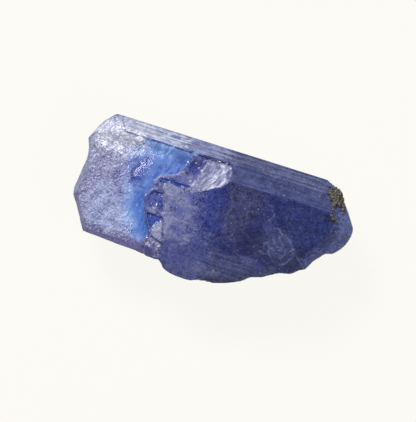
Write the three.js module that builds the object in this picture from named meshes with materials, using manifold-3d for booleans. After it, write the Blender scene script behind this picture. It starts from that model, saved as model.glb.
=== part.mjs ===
// A natural tanzanite crystal (blue zoisite) lying on its broad cleavage face.
// +X runs along the prism, from the pale etched end to the dark end that carries the matrix.
// +Z is up, and the origin is the middle of the bounding box, on the surface the crystal rests on.
// Lengths are millimetres.
import * as THREE from "three";
import { mergeVertices } from "three/addons/utils/BufferGeometryUtils.js";
import Module from "manifold-3d";

const wasm = await Module();
wasm.setup();

// ---------- driving dimensions ----------

const HALF_LENGTH = 16;
const HEIGHT = 9.6; // from the rest face to the upper broad face
const FLOOR_DROP = 1.15; // how far the etched end lies below the upper broad face
const TERRACE_DROP = 0.6; // how far the broken terrace lies below it
const CRUST_GAP = 0.2; // between the crystal and the matrix grown on it
const OVERSIZE = 40; // larger than the crystal in every direction
const JITTER = 0.34; // how far a carved surface's points stray from an even grid, as a share of its step

// Zoisite's cell edges in ångström. In the prism zone a face (h 0 l) leans from the broad face (1 0 0)
// by an angle that only their ratio sets.
const CELL_A = 16.21;
const CELL_C = 10.04;
const steepness = (h, l) => (l / CELL_C) / (h / CELL_A); // the tangent of that angle

// ---------- small helpers ----------

// The same numbers on every run.
function seeded(seed) {
  let state = seed;
  return (low = 0, high = 1) => {
    state = (Math.imul(state, 1664525) + 1013904223) >>> 0;
    return low + ((high - low) * state) / 2 ** 32;
  };
}

function solidOf(geometry) {
  const bare = geometry.clone();
  bare.deleteAttribute("normal");
  bare.deleteAttribute("uv");
  const merged = mergeVertices(bare, 1e-4);
  return new wasm.Manifold(
    new wasm.Mesh({
      numProp: 3,
      vertProperties: new Float32Array(merged.attributes.position.array),
      triVerts: new Uint32Array(merged.index.array),
    }),
  );
}

function geometryOf(solid) {
  const mesh = solid.getMesh();
  const indexed = new THREE.BufferGeometry()
    .setAttribute("position", new THREE.BufferAttribute(mesh.vertProperties, 3))
    .setIndex(new THREE.BufferAttribute(mesh.triVerts, 1));
  const faceted = indexed.toNonIndexed();
  faceted.computeVertexNormals();
  return faceted;
}

const shapeOf = (points) => new THREE.Shape(points.map(([a, b]) => new THREE.Vector2(a, b)));
const smooth = (points) => new THREE.SplineCurve(points.map(([a, b]) => new THREE.Vector2(a, b)));

// A plan outline raised between two heights.
function plate(points, low, high) {
  const geometry = new THREE.ExtrudeGeometry(shapeOf(points), { depth: high - low, bevelEnabled: false });
  return solidOf(geometry.translate(0, 0, low));
}

// Everything on the outer side of a plane. azimuth turns from +X towards +Y; slope is the plane's angle
// from the horizontal, over 90 degrees where it faces down.
function outside(point, azimuth, slope) {
  const a = THREE.MathUtils.degToRad(azimuth);
  const s = THREE.MathUtils.degToRad(slope);
  const normal = new THREE.Vector3(Math.cos(a) * Math.sin(s), Math.sin(a) * Math.sin(s), Math.cos(s));
  const turn = new THREE.Quaternion().setFromUnitVectors(new THREE.Vector3(0, 0, 1), normal);
  const block = new THREE.BoxGeometry(OVERSIZE, OVERSIZE, OVERSIZE)
    .translate(0, 0, OVERSIZE / 2)
    .applyQuaternion(turn)
    .translate(...point);
  return solidOf(block);
}

// A block that reaches down to the surface height(x, y), to carve that surface with.
function carver([x0, x1], [y0, y1], step, height) {
  const random = seeded(58);
  const columns = Math.round((x1 - x0) / step);
  const rows = Math.round((y1 - y0) / step);
  const block = new THREE.BoxGeometry(x1 - x0, y1 - y0, 1, columns, rows, 1);
  block.translate((x0 + x1) / 2, (y0 + y1) / 2, 0);
  const p = block.attributes.position;
  const within = (value, low, high) => value > low + 0.01 && value < high - 0.01;
  for (let i = 0; i < p.count; i++) {
    if (p.getZ(i) < 0 && within(p.getX(i), x0, x1) && within(p.getY(i), y0, y1)) {
      p.setX(i, p.getX(i) + random(-JITTER, JITTER) * step);
      p.setY(i, p.getY(i) + random(-JITTER, JITTER) * step);
    }
    p.setZ(i, p.getZ(i) > 0 ? HEIGHT + 2 : height(p.getX(i), p.getY(i)));
  }
  return solidOf(block);
}

// ---------- the prism ----------

const TOP_FAR = 4.25; // the upper broad face runs from TOP_NEAR to TOP_FAR
const TOP_NEAR = -3.8;
const BEVEL_FAR = 6.3; // where the gentle far bevel meets the steeper one
const FAR_WALL = 8.2;
const NEAR_WALL = -7.8;
const FAR_WALL_FOOT = 4.6;
const NEAR_WALL_FOOT = 4.0;

// Corners of the cross-section as [y, z], each face's slope set by its indices.
function sectionCorners() {
  const gentle = steepness(4, 1);
  const medium = steepness(2, 1);
  const steep = steepness(1, 1);
  const bevelFoot = HEIGHT - (BEVEL_FAR - TOP_FAR) * gentle;
  return {
    restNear: [NEAR_WALL + NEAR_WALL_FOOT / steep, 0],
    restFar: [FAR_WALL - FAR_WALL_FOOT / steep, 0],
    wallFarFoot: [FAR_WALL, FAR_WALL_FOOT],
    wallFarTop: [FAR_WALL, bevelFoot - (FAR_WALL - BEVEL_FAR) * medium],
    bevelFar: [BEVEL_FAR, bevelFoot],
    topFar: [TOP_FAR, HEIGHT],
    topNear: [TOP_NEAR, HEIGHT],
    wallNearTop: [NEAR_WALL, HEIGHT - (TOP_NEAR - NEAR_WALL) * gentle],
    wallNearFoot: [NEAR_WALL, NEAR_WALL_FOOT],
  };
}

// A prism face seen end on, with growth striations: shallow ridges of uneven width.
function striated([y0, z0], [y1, z1], ridges, relief, random) {
  const length = Math.hypot(y1 - y0, z1 - z0);
  const outward = [(z1 - z0) / length, (y0 - y1) / length];
  const points = [[y0, z0]];
  for (let i = 1; i < ridges; i++) {
    const t = (i + random(-0.35, 0.35)) / ridges;
    const depth = i % 2 ? -random(0.4, 1) * relief : 0;
    points.push([y0 + (y1 - y0) * t + outward[0] * depth, z0 + (z1 - z0) * t + outward[1] * depth]);
  }
  return points;
}

function prism() {
  const c = sectionCorners();
  const random = seeded(7);
  const section = [
    c.restNear,
    ...striated(c.restFar, c.wallFarFoot, 12, 0.09, random),
    ...striated(c.wallFarFoot, c.wallFarTop, 8, 0.07, random),
    ...striated(c.wallFarTop, c.bevelFar, 6, 0.035, random),
    ...striated(c.bevelFar, c.topFar, 4, 0.03, random),
    c.topFar,
    ...striated(c.topNear, c.wallNearTop, 6, 0.02, random),
    ...striated(c.wallNearTop, c.wallNearFoot, 8, 0.08, random),
    ...striated(c.wallNearFoot, c.restNear, 12, 0.09, random),
  ];
  section.shift();
  section.push(c.restNear);
  const length = 2 * HALF_LENGTH + 2;
  const geometry = new THREE.ExtrudeGeometry(shapeOf(section), { depth: length, bevelEnabled: false });
  const alongX = new THREE.Matrix4().makeBasis(
    new THREE.Vector3(0, 1, 0), new THREE.Vector3(0, 0, 1), new THREE.Vector3(1, 0, 0),
  );
  return solidOf(geometry.applyMatrix4(alongX).translate(-length / 2, 0, 0));
}

// ---------- the broken outline ----------

// The near side is broken: from the etched end a straight wall, then lobes like overlapping shingles.
// Each list is one lobe, met at a notch.
const NEAR_LOBES = [
  [[-9, -6.2], [-7.2, -6.3], [-6.4, -6.45], [-5.6, -6.62], [-4.1, -6.68]],
  [[-3.75, -6.92], [-3.3, -7.38], [-2.4, -7.68], [-1.0, -7.8], [0, -7.76], [0.5, -7.55], [1.0, -7.3]],
  [[2.5, -7.32], [4.0, -6.88], [5.5, -6.24], [6.1, -5.74]],
  [[6.5, -5.46], [7.6, -5.14], [8.0, -4.9]],
  [[8.7, -4.56], [9.1, -4.28]],
  [[9.8, -4.06], [10.5, -3.9], [11.1, -3.5], [11.5, -3.1]],
  [[12.2, -2.78], [12.55, -2.3], [12.8, -1.7]],
  [[13.25, -1.12], [13.9, -0.22]],
];
const DARK_TIP = [
  [14.3, -0.08], [14.72, 0.14], [15.42, 1.0], [15.8, 1.74],
  [16, 2.6], [16, 3.34], [15.8, 3.95], [15.0, 5.27],
];
const DARK_SHOULDER = [[13.9, 6.5], [13.25, 7.3], [12.9, 7.65], [12.3, 7.92], [11.8, 8.2], [11.6, 9]];
const PALE_END = [
  [-13.6, 9], [-13.8, 8.1], [-14.8, 7.05], [-15.9, 4.86], [-15.5, 3.73],
  [-15.4, 3.13], [-15.35, 2.03], [-15.5, 1.11], [-15.62, -0.17], [-15.75, -1.23],
  [-15.6, -2.04], [-14.85, -3.2], [-13.9, -5.02], [-13.35, -5.95],
];

function outline() {
  const lobes = NEAR_LOBES.flatMap((lobe) => {
    const curve = smooth(lobe);
    return curve.getPoints(2 * (lobe.length - 1)).map((p) => [p.x, p.y]);
  });
  const tip = smooth(DARK_TIP).getPoints(12).map((p) => [p.x, p.y]);
  return [...PALE_END, ...lobes, ...tip, ...DARK_SHOULDER];
}

const RIM = 0.4; // the walls are widest this far below the upper faces
const ETCHED_RIM = 1.0; // and this much further down round the etched end
const WALL_STEP = 0.8;
const WALL_STEPS = 13;
const KEPT_BAND = 1.8; // the wall roughens over this height, so that its widest level keeps the outline
const SCALLOP_DEPTH = 0.5;
// How fast the wall leans in, and how rough it is.
const ABOVE_GIRDLE = { curve: 0.05, roughness: 0.1 };
const BELOW_GIRDLE = { curve: 0.028, roughness: 1 };

// Height of the walls' widest level, which follows the upper faces down at the near bevel and both ends.
function girdle(x, y) {
  const nearFall = Math.max(0, TOP_NEAR - y) * steepness(4, 1);
  const endFall = 0.5 * Math.max(0, Math.abs(x) - 12.6);
  const etchedFall = ETCHED_RIM * THREE.MathUtils.smoothstep(-x, 5.5, 8);
  return HEIGHT - RIM - nearFall - endFall - etchedFall;
}

// Broken walls lean in above and below the girdle, in zigzag ledges and shell-shaped scallops.
function brokenWalls() {
  const geometry = new THREE.ExtrudeGeometry(shapeOf(outline()), {
    depth: WALL_STEPS * WALL_STEP,
    steps: WALL_STEPS,
    bevelEnabled: false,
  });
  const scallop = bowls(60, [-17, 17], [0, HEIGHT], 33);
  const random = seeded(12);
  const ledges = Array.from({ length: WALL_STEPS + 1 }, () => [random(0, 0.3), random(-0.4, 0.4)]);
  const p = geometry.attributes.position;
  for (let i = 0; i < p.count; i++) {
    const x = p.getX(i);
    const y = p.getY(i);
    const z = p.getZ(i);
    const above = z - girdle(x, y);
    const away = Math.abs(above);
    const { curve, roughness } = above > 0 ? ABOVE_GIRDLE : BELOW_GIRDLE;
    const loose = roughness * Math.min(1, away / KEPT_BAND);
    const [ledge, slip] = ledges[Math.round(z / WALL_STEP)];
    const chipped = ledge + SCALLOP_DEPTH * (1.2 - Math.min(scallop(x, z), 1.2));
    const inset = curve * away ** 2 + loose * chipped;
    // Inwards is towards the middle of an ellipse about the outline.
    const inwards = new THREE.Vector2(-x / HALF_LENGTH ** 2, -y / NEAR_WALL ** 2).normalize();
    p.setX(i, x + inset * inwards.x + loose * slip);
    // The far side is left to the prism's own faces.
    if (y < 0) p.setY(i, y + inset * inwards.y);
  }
  return solidOf(geometry);
}

// ---------- terminations ----------

// Planes that cut the body, each as [point, azimuth, slope]: first the two ends.
const END_FACES = [
  [[12.7, 4.2, HEIGHT], 26, 36],
  [[14.3, 5.9, 7.9], 34, 72],
  [[14.3, 1.4, HEIGHT - 0.9], -30, 42],
  [[13.9, 5, 1.5], 22, 128],
  [[13.2, 0, 1.2], -35, 120],
  [[-14.6, 5.4, 8.3], 147, 58],
  [[-14.7, -2.6, 8.0], 213, 62],
  [[-15.3, 1, 7.4], 178, 66],
  [[-13.5, 4, 0.8], 150, 124],
  [[-13.2, -1.5, 0.8], 205, 126],
];

// Flat breaks under the girdle of the near side.
const NEAR_BREAKS = [
  [[0.5, -7.0, 3.6], 266, 116],
  [[-10, -5.5, 2.9], 262, 110],
  [[6.5, -4.9, 3.4], 297, 120],
  [[12.2, -1.9, 3.8], 305, 114],
];

// Everything outside a list of such planes.
function beyond(planes) {
  return planes.map((plane) => outside(...plane)).reduce((all, next) => all.add(next));
}

// The narrow bevel along the near edge of the pale end.
function paleBevel() {
  const pale = plate([[-18, -9], [-6.4, -9], [-5.6, -3], [-18, -3]], 0, HEIGHT + 2);
  return outside([-10, -5.27, 8.35], 268, 50).intersect(pale);
}

// ---------- the etched pale end ----------

// Shallow bowls that meet in ridges, as acid leaves them: the distance to the nearest of a set of points.
function bowls(count, [x0, x1], [y0, y1], seed) {
  const random = seeded(seed);
  const centres = Array.from({ length: count }, () => [random(x0, x1), random(y0, y1)]);
  return (x, y) => Math.min(...centres.map(([cx, cy]) => Math.hypot(x - cx, y - cy)));
}

const ETCHED_X = [-17.5, -1.5];
const ETCHED_Y = [-8.5, 9];
const ETCH_STEP = 0.45;
const ETCH_LOSS = 0.12; // what etching took off the bevel

// Two nearly flat faces that meet in a shallow valley, both falling towards the end of the crystal. At the
// far side they rise to the bevel and then follow it down.
function etchedHeight() {
  const bowl = bowls(150, ETCHED_X, ETCHED_Y, 21);
  const { lerp, smoothstep } = THREE.MathUtils;
  const bevelFoot = HEIGHT - (BEVEL_FAR - TOP_FAR) * steepness(4, 1) - ETCH_LOSS;
  return (x, y) => {
    const towardsEnd = Math.max(0, -8 - x);
    const upper = HEIGHT - FLOOR_DROP + 0.04 * (2.6 - y) - 0.085 * towardsEnd;
    const lower = HEIGHT - FLOOR_DROP + 0.05 * (y - 2.6) - 0.06 * towardsEnd;
    const rise = lerp(smoothstep(y, 5.3, BEVEL_FAR), smoothstep(y, 4.4, BEVEL_FAR), smoothstep(-x, 8.8, 11));
    const bevel = bevelFoot - Math.max(0, y - BEVEL_FAR) * steepness(2, 1);
    const rough = Math.min(1, towardsEnd / 2.5);
    return lerp(Math.min(upper, lower), bevel, rise) + rough * 0.18 * (Math.min(bowl(x, y), 1) - 0.5);
  };
}

// Where the upper layer has broken away: first down to the etched floor, then to a terrace.
const FLOOR_EDGE = [
  [-3.7, 6.25], [-4.1, 5.2], [-4.3, 4.1], [-4.8, 3.25], [-5.9, 2.75],
  [-6.6, 2.5], [-7.15, 1.7], [-7.0, 0.95], [-7.7, -0.3], [-7.35, -1.3],
  [-6.95, -2.5], [-6.3, -3.5], [-5.95, -4.5], [-6.25, -5.0], [-5.6, -8.5],
];
const TERRACE_EDGE = [
  [-1.9, 6.25], [-2.15, 5.3], [-2.45, 4.0], [-2.95, 2.15], [-4.4, 1.8], [-5.75, 1.95], [-5.95, 1.15],
  [-5.65, 0.1], [-5.2, -0.9], [-5.0, -1.9], [-4.75, -2.7], [-4.6, -3.5], [-4.35, -4.75], [-4.4, -8.5],
];
const FAR_LIMIT = 6.3; // the striated far bevel outlives the break

function brokenAway(edge, limit) {
  return [[-18, limit], ...edge, [-18, -8.5]].reverse();
}

function etchedEnd() {
  const surface = carver(ETCHED_X, ETCHED_Y, ETCH_STEP, etchedHeight());
  const corner = [[-18, 9], [-13.3, 9], [-12.7, 7.4], [-12.1, FAR_LIMIT]];
  return surface.intersect(plate([...corner, ...FLOOR_EDGE, [-18, -8.5]].reverse(), 0, HEIGHT + 2));
}

function terrace() {
  return plate(brokenAway(TERRACE_EDGE, FAR_LIMIT), HEIGHT - TERRACE_DROP, HEIGHT + 2);
}

// ---------- chips ----------

// One conchoidal bite: a lumpy ball squashed to radii, tilted about X and Y.
function bite(centre, radii, tiltX = 0, tiltY = 0, detail = 3) {
  const ball = new THREE.IcosahedronGeometry(1, detail);
  const p = ball.attributes.position;
  for (let i = 0; i < p.count; i++) {
    const v = new THREE.Vector3().fromBufferAttribute(p, i);
    const lumps = 0.16 * Math.sin(4 * v.x + 3 * v.z) * Math.sin(5 * v.y - 2 * v.x);
    v.multiplyScalar(1 + lumps + 0.06 * Math.sin(11 * v.z));
    p.setXYZ(i, v.x, v.y, v.z);
  }
  ball.scale(...radii);
  ball.rotateX(THREE.MathUtils.degToRad(tiltX));
  ball.rotateY(THREE.MathUtils.degToRad(tiltY));
  return solidOf(ball.translate(...centre));
}

// The pale shell-shaped chip at the far end of the ledge. It opens onto the terrace and is ribbed
// with arcs round CHIP_FOCUS.
const CHIP_RIM = [
  [-2.5, 6.2], [-0.6, 6.3], [0.35, 6.05], [0.8, 5.4], [0.88, 4.6],
  [0.65, 3.8], [0.1, 3.25], [-0.6, 2.85], [-1.5, 2.3], [-2.9, 1.85],
];
const CHIP_FOCUS = [-2.6, 4.0];
const CHIP_REACH = 3.6;
const CHIP_DEPTH = 0.34;

function shellChip() {
  const surface = carver([-3.6, 1.4], [1.4, 6.8], 0.22, (x, y) => {
    const out = Math.hypot(x - CHIP_FOCUS[0], y - CHIP_FOCUS[1]) / CHIP_REACH;
    const rib = 0.045 * THREE.MathUtils.smoothstep(out, 0.4, 0.8) * Math.sin(24 * out);
    const face = HEIGHT - Math.max(0, y - TOP_FAR) * steepness(4, 1);
    return face - 0.1 - CHIP_DEPTH * (1 - Math.min(out, 1) ** 1.6) + rib;
  });
  const rim = smooth(CHIP_RIM).getPoints(20).map((p) => [p.x, p.y]);
  return surface.intersect(plate([...rim, [-3.5, 1.9], [-3.5, 6.2]].reverse(), 0, HEIGHT + 4));
}

// Deeper sheets that show inside the terrace, each flat: how far it lies below the broad face, and its plan.
const WINDOWS = [
  [0.82, [[-6.75, 2.4], [-3.3, 2.4], [-3.05, 2.15], [-4.3, 1.8], [-5.7, 1.95], [-6.65, 1.8]]],
  [0.8, [[-6.2, 0.7], [-5.75, 0.7], [-5.3, -1.0], [-6.3, -1.0]]],
  [0.88, [[-7.1, -1.85], [-6.3, -1.9], [-5.0, -2.05], [-5.0, -2.6], [-5.6, -3.4], [-6.2, -3.4]]],
  [1.0, [[-4.15, 6.12], [-2.4, 6.12], [-2.45, 5.2], [-2.65, 4.1], [-3.1, 3.7], [-3.7, 3.75], [-4.6, 4.1]]],
];
const FACET = [[-7.6, -0.35], [-6.95, 0.7], [-6.2, 0.7], [-6.3, -1.0], [-7.2, -1.3]];

function windows() {
  const sheets = WINDOWS.map(([drop, plan]) => plate([...plan].reverse(), HEIGHT - drop, HEIGHT + 1));
  const facetPlan = plate([...FACET].reverse(), 0, HEIGHT + 1);
  const facet = outside([-6.8, -0.3, HEIGHT - 0.78], 20, 12).intersect(facetPlan);
  return sheets.reduce((all, next) => all.add(next), facet);
}

// Small hackly facets where the terrace and the near corner tore: sharp-cornered lumps plucked out.
const HACKLES = 20;
const TORN_STRIP = [
  [-2.9, 5.6], [-3.4, 3.6], [-5.4, 2.4], [-6.5, 0.9], [-6.4, -0.7], [-5.9, -2.2], [-5.2, -5.6],
];

function hackles() {
  const random = seeded(91);
  const middle = smooth(TORN_STRIP);
  const terraceLevel = HEIGHT - TERRACE_DROP;
  let tool;
  for (let i = 0; i < HACKLES; i++) {
    const p = middle.getPoint((i + 0.5) / HACKLES);
    const lump = new THREE.IcosahedronGeometry(random(0.25, 0.5), 0)
      .scale(random(0.7, 1.6), 1, random(0.5, 1))
      .rotateX(random(0, Math.PI))
      .rotateZ(random(0, Math.PI))
      .translate(p.x + random(-0.6, 0.6), p.y + random(-0.5, 0.5), terraceLevel + random(0, 0.3));
    const piece = solidOf(lump);
    tool = tool ? tool.add(piece) : piece;
  }
  return tool.intersect(plate(brokenAway(TERRACE_EDGE, FAR_LIMIT), 0, HEIGHT + 2));
}

// Two cleavage cracks that reach the surface, each a thin groove.
const BEVEL_CRACK = [[-4.2, 6.22], [-1.5, 6.3], [0.7, 6.26], [-1.5, 6.36], [-4.2, 6.32]];
const CROSS_CRACK = [[-4.42, -4.6], [-4.36, -4.6], [-4.33, -5.6], [-4.4, -6.9], [-4.45, -5.6]];

function cracks() {
  return plate(BEVEL_CRACK, HEIGHT - 1.2, HEIGHT + 1).add(plate(CROSS_CRACK, HEIGHT - 2.2, HEIGHT + 1));
}

// A loose-looking pale flake still standing on the ledge.
function flake() {
  const edge = [
    [-4.9, -2.6], [-5.4, -2.7], [-5.6, -3.2], [-5.9, -3.7], [-5.7, -4.3], [-5.0, -4.65], [-4.4, -4.75],
  ];
  const rim = smooth(edge).getPoints(12).map((p) => [p.x, p.y]);
  return plate([...rim, [-4.35, -4.6], [-4.6, -3.4]], HEIGHT - 2, HEIGHT - 0.18);
}

// Bites along the near edge, deeper below the girdle, and a few on the far rim and the ends.
const BITES = [
  [[-5.3, -7.0, 7.6], [1.5, 1.0, 0.9], 20, 15],
  [[2.4, -8.0, 5.2], [2.3, 1.3, 1.4], -20, 5],
  [[6.9, -6.6, 6.0], [1.9, 1.15, 1.3], -15, 10],
  [[10.1, -4.2, 4.9], [1.9, 1.1, 1.5], -25, 0],
  [[0.2, -8.2, 2.4], [2.6, 2.2, 1.9], 25, 0],
  [[-8.5, -6.9, 3.6], [2.9, 1.8, 1.8], 20, 10],
  [[8.2, -5.9, 2.2], [3.2, 2.4, 1.7], 30, -10],
  [[-14.9, 6.8, 3.0], [2.0, 1.6, 1.9], 0, 30],
  [[-16.6, 2.4, 5.6], [1.2, 1.7, 1.9], 0, 20],
  [[4.5, 9.3, 3.1], [3.4, 1.7, 1.4], -20, 0],
  [[14.9, 6.9, 2.6], [2.1, 1.5, 1.6], 0, -25],
];

// ---------- the crystal ----------

function crystalSolid() {
  const bitten = BITES.map((row) => bite(...row)).reduce((all, next) => all.add(next));
  return prism()
    .intersect(brokenWalls())
    .subtract(beyond([...END_FACES, ...NEAR_BREAKS]))
    .subtract(paleBevel())
    .subtract(etchedEnd())
    .subtract(terrace())
    .subtract(windows())
    .subtract(hackles())
    .subtract(shellChip())
    .add(flake())
    .subtract(cracks())
    .subtract(bitten);
}

// ---------- the matrix ----------

// Grey-brown rock left on the dark end, as grains crowded on the crystal's faces.
// Each row is [x, y, radius], and the grains sit on the termination below that point.
const MAIN_PATCH = [
  [12.2, 6.6, 0.45], [12.6, 7.25, 0.42], [12.7, 6.65, 0.55], [12.6, 6.05, 0.45], [12.95, 7.1, 0.42],
  [13.15, 6.55, 0.55], [13.05, 5.9, 0.5], [13.35, 6.8, 0.45], [13.6, 6.2, 0.5], [13.5, 5.65, 0.45],
  [13.95, 5.7, 0.42], [14.15, 5.3, 0.34], [12.95, 5.35, 0.34], [12.9, 5.0, 0.24], [13.0, 4.7, 0.2],
];
const SMALL_PATCH = [[13.1, 3.9, 0.3], [13.4, 3.7, 0.36], [13.65, 3.45, 0.28]];

// The same solid moved by a step.
const moved = (solid, step) => solidOf(geometryOf(solid).translate(...step));

function grains(patch, crystal, seed) {
  const random = seeded(seed);
  const host = new THREE.Mesh(geometryOf(crystal));
  const down = new THREE.Vector3(0, 0, -1);
  let crust;
  for (const [x, y, radius] of patch) {
    const [hit] = new THREE.Raycaster(new THREE.Vector3(x, y, 2 * HEIGHT), down).intersectObject(host);
    const grain = new THREE.DodecahedronGeometry(radius, 0)
      .scale(1, random(0.8, 1.1), random(0.7, 0.9))
      .rotateX(random(0, 3))
      .rotateZ(random(0, 3))
      .translate(x, y, hit.point.z + CRUST_GAP);
    const piece = solidOf(grain);
    crust = crust ? crust.add(piece) : piece;
  }
  for (const step of [[0, 0, 0], [CRUST_GAP, 0, 0], [0, CRUST_GAP, 0], [0, 0, CRUST_GAP]]) {
    crust = crust.subtract(moved(crystal, step));
  }
  return crust;
}

// ---------- the scene ----------

const CRYSTAL = new THREE.MeshStandardMaterial({ color: 0x4a55a8, roughness: 0.25, metalness: 0 });
const MATRIX = new THREE.MeshStandardMaterial({ color: 0x6b6558, roughness: 0.9, metalness: 0 });

function named(name, solid, material) {
  const mesh = new THREE.Mesh(geometryOf(solid), material);
  mesh.name = name;
  return mesh;
}

const crystal = crystalSolid();

const part = new THREE.Group();
part.add(
  named("crystal", crystal, CRYSTAL),
  named("matrix_crust", grains(MAIN_PATCH, crystal, 5), MATRIX),
  named("matrix_fleck", grains(SMALL_PATCH, crystal, 6), MATRIX),
);
const box = new THREE.Box3().setFromObject(part);
part.position.set(-(box.min.x + box.max.x) / 2, -(box.min.y + box.max.y) / 2, -box.min.z);

export default part;
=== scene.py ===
import math
from types import SimpleNamespace

import bmesh
import bpy
import numpy as np
from mathutils import Matrix, Vector, noise
from mathutils.bvhtree import BVHTree
from mathutils.kdtree import KDTree


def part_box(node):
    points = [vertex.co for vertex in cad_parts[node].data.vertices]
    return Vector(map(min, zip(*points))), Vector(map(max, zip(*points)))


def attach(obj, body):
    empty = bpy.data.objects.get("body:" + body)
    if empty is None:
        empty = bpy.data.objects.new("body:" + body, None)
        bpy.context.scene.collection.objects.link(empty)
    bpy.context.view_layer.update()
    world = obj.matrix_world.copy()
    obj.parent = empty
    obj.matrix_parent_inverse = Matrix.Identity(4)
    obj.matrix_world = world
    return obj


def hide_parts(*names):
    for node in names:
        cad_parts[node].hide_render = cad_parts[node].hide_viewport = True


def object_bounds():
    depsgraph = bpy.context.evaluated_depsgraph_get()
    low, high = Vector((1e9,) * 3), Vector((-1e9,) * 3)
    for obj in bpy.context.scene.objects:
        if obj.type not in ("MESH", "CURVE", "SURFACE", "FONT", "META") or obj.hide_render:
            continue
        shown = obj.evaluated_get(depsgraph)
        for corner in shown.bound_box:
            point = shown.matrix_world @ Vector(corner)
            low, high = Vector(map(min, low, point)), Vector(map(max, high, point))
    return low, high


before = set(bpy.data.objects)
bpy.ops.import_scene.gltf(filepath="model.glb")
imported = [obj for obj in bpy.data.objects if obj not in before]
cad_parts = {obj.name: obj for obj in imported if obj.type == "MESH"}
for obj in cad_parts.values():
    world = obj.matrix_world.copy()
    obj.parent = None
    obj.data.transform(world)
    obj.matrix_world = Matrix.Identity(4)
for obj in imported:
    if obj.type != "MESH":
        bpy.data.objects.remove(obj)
CAD_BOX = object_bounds()

MM = 0.001

# The plans below are drawn in millimetres in the solids' own plan, whose origin lies inside the crystal.
# Two of its faces place that plan in the frame: the pale end's tip and the far wall.
DRAWN_LEFT = -15.98
DRAWN_FAR = 8.2
DRAWN_TOP = 9.6
SHIFT = np.array([DRAWN_LEFT - CAD_BOX[0][0] / MM, DRAWN_FAR - CAD_BOX[1][1] / MM, 0.0])
TOP_FAR = 4.25  # the upper broad face ends here, at the gentle far bevel
OUTER_WALL_TOP = 8.2  # the ledge's own steps stand higher than this, the outer walls by the etched end lower
BEVEL_FOOT_TOP = 8.74  # how high the steep bevel's foot stands
AZURE_DROP = (0.85, 0.95)  # the azure floor lies this far below the upper plate, or lower

# ---- camera, light and floor ----

LENS_DISTANCE = 400 * MM
ELEVATION = 80.0  # degrees above the floor
TILT = 17.5  # the prism's axis falls to the right by this angle in the picture
AIM = np.array([-0.415, 1.0, 5.0])  # what the camera looks at, in the plan
PICTURE_SPAN = 48.23 * MM  # what the picture's longer side covers at the target
CLIP_START = 10 * MM
CLIP_END = 10000 * MM

# Each light as its place and size in millimetres, and its watts.
KEY_LIGHT = ((-197, 165, 306), 150, 2.1)
FILL_LIGHT = ((240, -160, 320), 240, 0.6)
WORLD_STRENGTH = 0.2

FLOOR = (250, 249, 243)
FLOOR_HALF = 3000 * MM
FLOOR_DROP = 0.05 * MM  # the floor lies this far below the crystal
FLOOR_GLOW = 0.965  # the floor shines by itself, as a light table does, so it takes little shadow
FLOOR_WHITENESS = 0.03  # what it throws back of the light that falls on it

# ---- the crystal's body ----

# Zoisite bends light by this index. The volume takes up some red and green from what passes through.
IOR = 1.69
ABSORB = (0.34, 0.42, 0.86)
ABSORB_DENSITY = 110.0  # per metre

VOXEL = 0.15 * MM  # size of the crystal skin's facets
SHARP = math.radians(25)  # edges of the solid that are bent more than this stay where they are
CREASE = math.radians(28)  # edges of the skin that are bent more than this are shaded as sharp
EDGE_STEP = 0.15  # how closely points are set along a sharp edge, as a share of the facets' size
EDGE_REACH = 0.5  # how near a sharp edge a vertex is drawn onto it, as a share of the same

# Relief, in millimetres.
CRUMB_HEIGHT = 0.016
ETCH_HEIGHT = 0.004
GROWTH_HEIGHTS = (0.004, 0.006)
STRIA_HEIGHTS = (0.012, 0.008)
STRAND_HEIGHT = 0.03
ARC_HEIGHT = 0.008
CHIP_FACET_HEIGHT = 0.02
WALL_FACET_HEIGHTS = (0.30, 0.09)
LEDGE_FACET_HEIGHT = 0.04
SEAM_DEPTH = 0.02
CRYSTAL_BUMP = (0.5, 0.12)  # its strength, and its depth
CHIP_FOCUS = (-3.4, 5.0)  # the chip's ripples run in arcs round this point
UNDERCUT = 0.28  # how far a broken wall leans in under its rim, per millimetre down it
UNDERCUT_DEPTH = 2.0  # and down to where it does

# ---- the matrix ----

ROCK_VOXEL = 0.07 * MM
ROCK_CREASE = math.radians(40)
ROCK_SINK = 0.15 * MM  # brings the rock down onto the crystal
ROCK_DIMPLE_HEIGHT = 0.10
ROCK_GRAIN_HEIGHT = 0.06
ROCK_BUMP = (0.7, 0.2)  # its strength, and its depth in millimetres
ROCK_DARK = (30, 28, 30)
ROCK_MID = (100, 95, 89)
ROCK_PALE = (178, 175, 168)
ROCK_OCHRE = (122, 100, 68)
OCHRE_DARK = (92, 80, 62)
OCHRE_PALE = (164, 138, 84)

# Loose specks on the crystal, each as its place in the plan and its radius.
ROCK_SPECKS = [
    (12.0, 7.35, 0.17), (12.1, 6.95, 0.12), (14.14, 4.71, 0.17), (14.45, 4.18, 0.12), (14.0, 4.95, 0.1),
    (13.15, 3.85, 0.12), (13.6, 3.6, 0.13), (13.0, 4.3, 0.1), (13.35, 4.55, 0.08), (14.3, 5.0, 0.09),
]
OCHRE_SPECKS = [(-4.4, 3.55, 0.09), (-4.25, 3.35, 0.06), (2.2, -6.0, 0.11), (2.35, -6.15, 0.07)]
SPECK_LUMPS = 0.5  # how lumpy a grain is, and how far its middle stands out, as shares of its radius
SPECK_LIFT = 0.2
SPECK_DROP = 5  # how far above the crystal, in millimetres, the search for a grain's place starts

# ---- plans of the crystal's zones ----

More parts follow.
